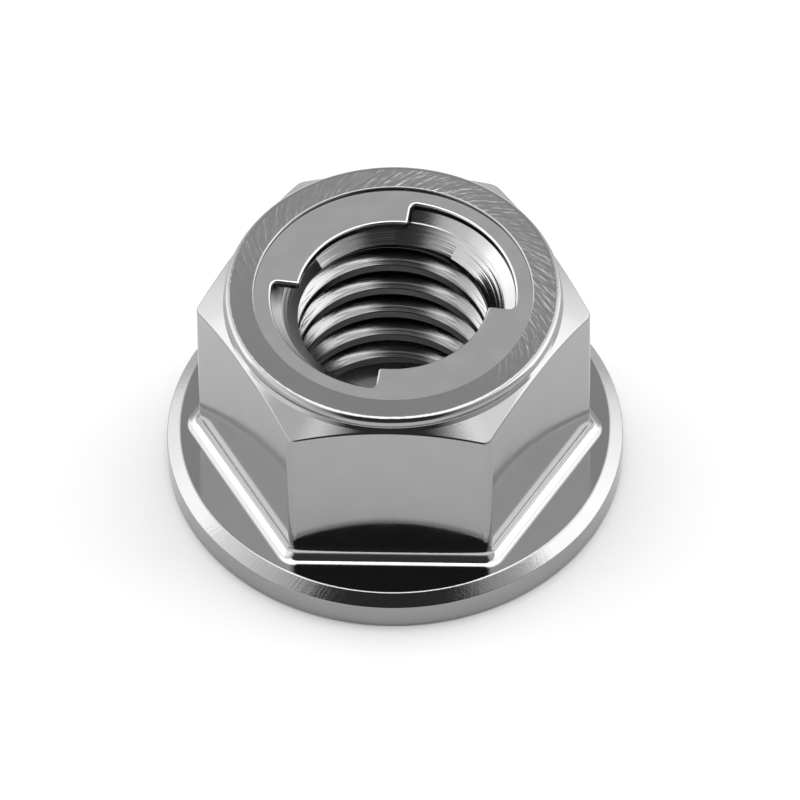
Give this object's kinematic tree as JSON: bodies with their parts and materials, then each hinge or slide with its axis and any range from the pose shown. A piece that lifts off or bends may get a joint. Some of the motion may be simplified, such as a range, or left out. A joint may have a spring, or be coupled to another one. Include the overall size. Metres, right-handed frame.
{
  "type": "flange lock nut",
  "caption": "Hexagon flange nut with a threaded hole and a stamped locking ring held under the rolled lip of its crown.",
  "frame": {"origin": "centre of the bearing face under the flange, on the thread's axis", "axes": "+Z along the thread's axis from the bearing face up to the crown, +X through a corner of the hexagon, +Y square to a flat"},
  "size_m": [0.016, 0.016, 0.0086],
  "materials": {
    "nut_metal": "bright machined steel, near-mirror flats and fine turning lines",
    "ring_metal": "smooth satin spring steel with bright stamped edges"
  },
  "bodies": {
    "root": {"nut_body": "nut_metal", "lock_ring": "ring_metal"}
  },
  "joints": []
}
